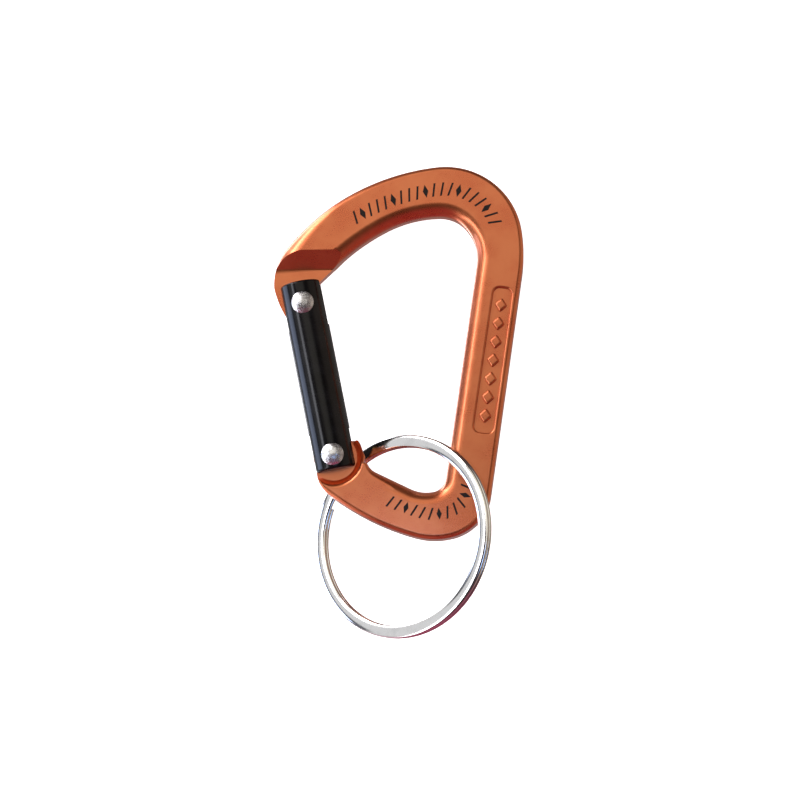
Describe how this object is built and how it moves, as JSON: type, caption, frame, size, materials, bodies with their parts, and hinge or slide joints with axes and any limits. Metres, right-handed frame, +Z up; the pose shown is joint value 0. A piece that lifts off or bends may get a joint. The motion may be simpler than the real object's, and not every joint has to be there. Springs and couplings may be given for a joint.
{
  "type": "carabiner keyring",
  "caption": "Small asymmetric snap-gate carabiner with a flat forged frame, a sprung tubular gate on rivets and a split key ring hung on it",
  "frame": {"origin": "middle of the bounding box's bottom: the table plane that the object lies on, under its middle", "axes": "+Z is up from the table. +Y runs along the carabiner from the key ring to the top arc, +X from the gate to the spine. The frame lies tilted by 6.2 degrees, propped by the key ring under its hinge end."},
  "size_m": [0.0336, 0.063, 0.0122],
  "materials": {
    "orange_anodised": "satin anodised orange",
    "black_anodised": "gloss black anodised",
    "rivet_steel": "satin, headed",
    "spring_steel": "bright spring wire",
    "plunger_brass": "turned",
    "ring_nickel": "polished nickel plate"
  },
  "bodies": {
    "frame": {"frame": "orange_anodised"},
    "gate": {"gate": "black_anodised", "hinge_rivet": "rivet_steel", "latch_rivet": "rivet_steel", "return_spring": "spring_steel"},
    "plunger": {"plunger": "plunger_brass"},
    "key_ring": {"split_ring": "ring_nickel"}
  },
  "joints": [
    {"name": "gate_hinge", "type": "hinge", "parent": "frame", "child": "gate", "pos_m": [-0.0086, -0.00738, 0.00621], "axis": [-0.0956, -0.05, -0.9942], "range_deg": [0, 25], "stiffness_Nm_per_rad": 0.05, "springref_deg": -45.84},
    {"name": "plunger_slide", "type": "slide", "parent": "gate", "child": "plunger", "axis": [-0.1974, 0.9799, -0.0303], "range_m": [0, 0.00042], "deforming": ["return_spring"]},
    {"name": "ring_swing", "type": "hinge", "parent": "frame", "child": "key_ring", "pos_m": [0.00041, -0.01808, 0.00608], "axis": [-0.1224, -0.9906, 0.0615], "range_deg": [0, 112]}
  ],
  "couplings": [
    {"joint": "plunger_slide", "follows": "gate_hinge", "m_per_rad": 0.0009}
  ]
}
